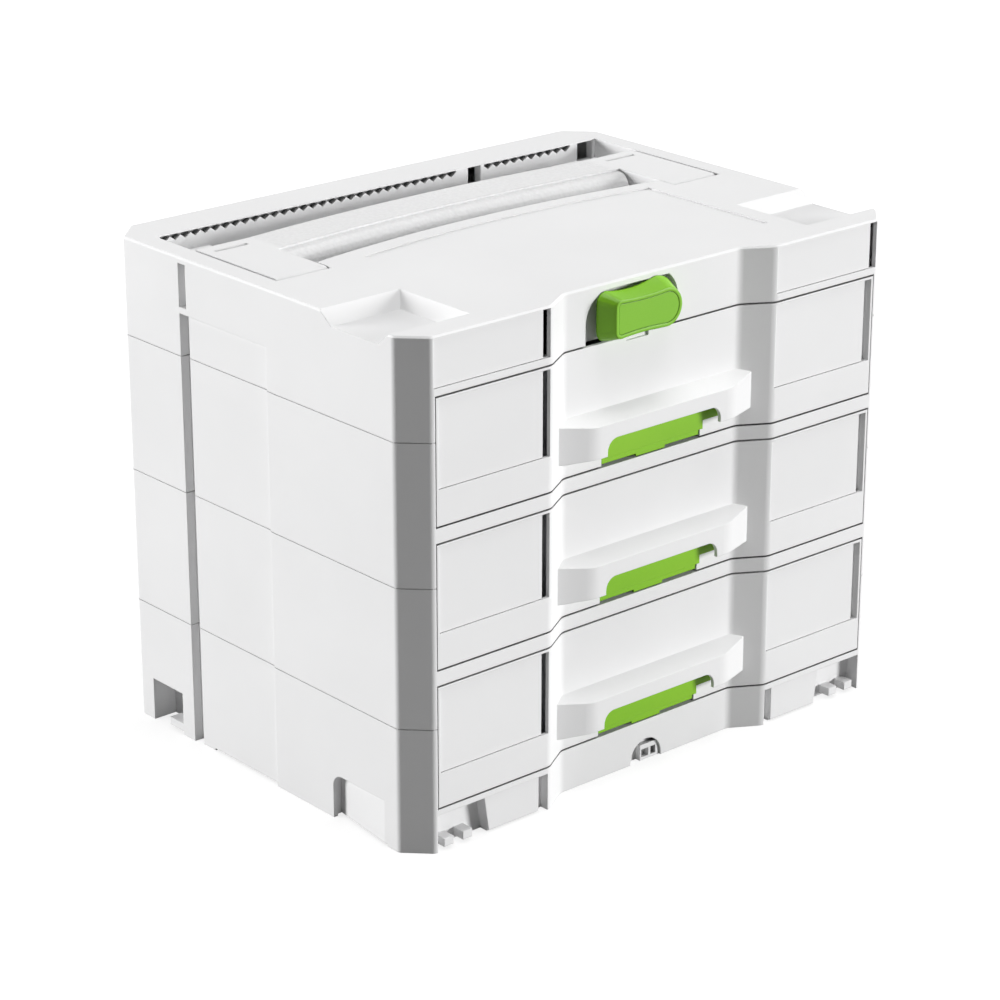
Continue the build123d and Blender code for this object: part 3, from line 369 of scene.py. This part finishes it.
for level in levels:
    for piece, surface in drawer_surfaces.items():
        dress(f"{level}_{piece}", surface)

# Return springs: a bent steel leaf fixed to the front wall of each tray. The pressed lever
# pushes the leaf back towards that wall.
for level in levels:
    spring = f"{level}_lever_spring"
    leaf = bpy.data.objects.new(f"{level}_spring_leaf", nodes[spring].data.copy())
    bpy.context.scene.collection.objects.link(leaf)
    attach(leaf, f"{level}_drawer")
    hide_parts(spring)
    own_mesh(leaf)

# Studio: a wide floor that keeps the shadow of the case and runs out into a white surround, and
# three softboxes, two low ones at the sides and one above.
floor_half = 6.0
floor_corners = [(-1, -1), (1, -1), (1, 1), (-1, 1)]
floor_points = [(floor_half * x, floor_half * y, 0) for x, y in floor_corners]
floor_mesh = bpy.data.meshes.new("floor")
floor_mesh.from_pydata(floor_points, [], [(0, 1, 2, 3)])
floor = bpy.data.objects.new("floor", floor_mesh)
bpy.context.scene.collection.objects.link(floor)


def looked_at(tree):
    """One for rays from the camera, a mirror or glass, nought for light that falls on the case."""
    paths = tree.nodes.new("ShaderNodeLightPath")
    seen_by = ("Is Camera Ray", "Is Glossy Ray", "Is Transmission Ray")
    camera_ray, glossy_ray, glass_ray = [Shade(tree, paths.outputs[name]) for name in seen_by]
    either = camera_ray.math("MAXIMUM", camera_ray, glossy_ray)
    return either.math("MAXIMUM", either, glass_ray)


black = (0.0, 0.0, 0.0)
surround_white = (1.0, 1.0, 1.0)
floor_glow_near = (0.78, 0.78, 0.78)
floor_glow_start = 0.35
floor_glow_end = 1.1
floor_colour = (0.25, 0.25, 0.25, 1.0)
floor_roughness = 0.9
# Painted light: the floor glows for the camera and in reflections, dimmer near the case so its
# shadow shows, and full white further out.
floor_white, floor_shader, place = new_material("floor_white")
away = place.make("ShaderNodeVectorMath", output="Value", operation="LENGTH", inputs={0: place})
glow = away.steps(floor_glow_start, floor_glow_end).mix(floor_glow_near, surround_white)
wire(
    floor_shader,
    Base_Color=floor_colour,
    Roughness=floor_roughness,
    Emission_Color=looked_at(place.tree).mix(black, glow),
    Emission_Strength=1.0,
)
floor_mesh.materials.append(floor_white)

fill_light = (0.02, 0.02, 0.02)
world = bpy.data.worlds.new("surround")
bpy.context.scene.world = world
world.use_nodes = True
sky = world.node_tree
surround = looked_at(sky).mix(fill_light, surround_white)
sky.links.new(surround.socket, sky.nodes["Background"].inputs["Color"])

case_middle_z = 0.16


def softbox(name, place, size, power):
    """A square studio light that faces the middle of the case."""
    lamp = bpy.data.lights.new(name, "AREA")
    lamp.size = size
    lamp.energy = power
    lamp_object = bpy.data.objects.new(name, lamp)
    lamp_object.location = place
    aim = -lamp_object.location
    aim.z += case_middle_z
    lamp_object.rotation_euler = aim.to_track_quat("-Z", "Y").to_euler()
    bpy.context.scene.collection.objects.link(lamp_object)


softbox("softbox_right", place=(7.0, -7.4, 1.5), size=2.6, power=1080.0)
softbox("softbox_left", place=(-7.0, 6.6, 1.8), size=3.0, power=1070.0)
softbox("softbox_top", place=(0.3, -0.35, 4.6), size=2.4, power=145.0)

# Camera: a long lens that looks down on the front left corner of the case, at the angle of the
# photograph.
camera_place = (-1.26253, -1.45044, 0.87275)
level_tilt = 90.0
camera_drop = 20.96
camera_heading = -40.96
lens_length = 114.83
sensor_width = 36.0
camera = bpy.data.cameras.new("camera")
camera.lens = lens_length
camera.sensor_width = sensor_width
camera_object = bpy.data.objects.new("camera", camera)
camera_object.location = camera_place
camera_object.rotation_euler = (
    math.radians(level_tilt - camera_drop),
    0.0,
    math.radians(camera_heading),
)
bpy.context.scene.collection.objects.link(camera_object)
bpy.context.scene.camera = camera_object
bpy.context.scene.view_settings.view_transform = "Standard"
